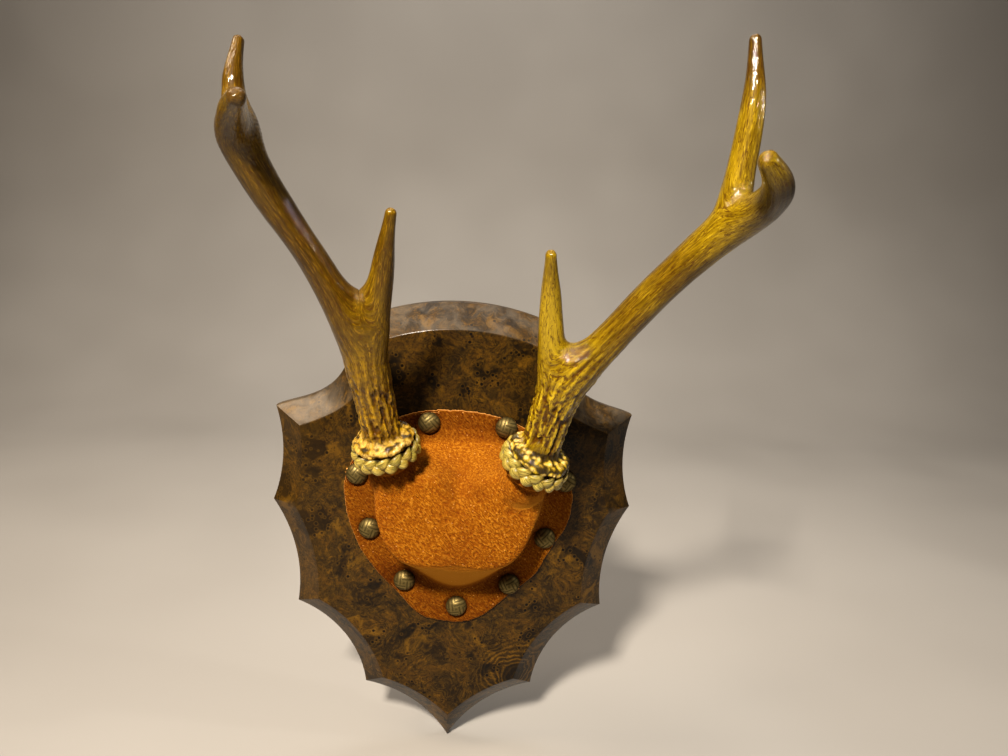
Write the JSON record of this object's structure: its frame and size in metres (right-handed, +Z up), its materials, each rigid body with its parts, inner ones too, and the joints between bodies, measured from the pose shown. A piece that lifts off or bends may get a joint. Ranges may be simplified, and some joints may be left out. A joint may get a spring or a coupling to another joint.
{
  "type": "deer antler mount on shield plaque",
  "caption": "Pair of varnished young deer antlers on a suede-covered skull plate, nailed to a scalloped burl walnut shield that hangs on a wall.",
  "frame": {"origin": "centre of the plaque's back face, halfway up the shield, on the wall", "axes": "+Y points into the wall, +Z up and +X to the right as one faces the plaque; left and right in node names are as seen from the front"},
  "size_m": [0.2276, 0.1478, 0.3895],
  "materials": {
    "walnut": "burl walnut under satin lacquer",
    "suede": "rust-orange suede, nap out",
    "nail": "antiqued and hammered",
    "screw": "zinc plated",
    "antler": "antler under gloss varnish",
    "braid": "glossy straw-coloured plaited cord"
  },
  "bodies": {
    "root": {"board": "walnut", "back_screw_1": "screw", "back_screw_2": "screw", "leather_cover": "suede", "nail_1": "nail", "nail_2": "nail", "nail_3": "nail", "nail_4": "nail", "nail_5": "nail", "nail_6": "nail", "nail_7": "nail", "nail_8": "nail", "nail_9": "nail", "antler_left_base": "antler", "antler_left_upper_beam": "antler", "antler_left_beam_tip": "antler", "antler_left_brow_tine": "antler", "antler_left_upper_tine": "antler", "antler_right_base": "antler", "antler_right_upper_beam": "antler", "antler_right_beam_tip": "antler", "antler_right_brow_tine": "antler", "antler_right_upper_tine": "antler", "braid_left": "braid", "braid_right": "braid"}
  },
  "joints": []
}
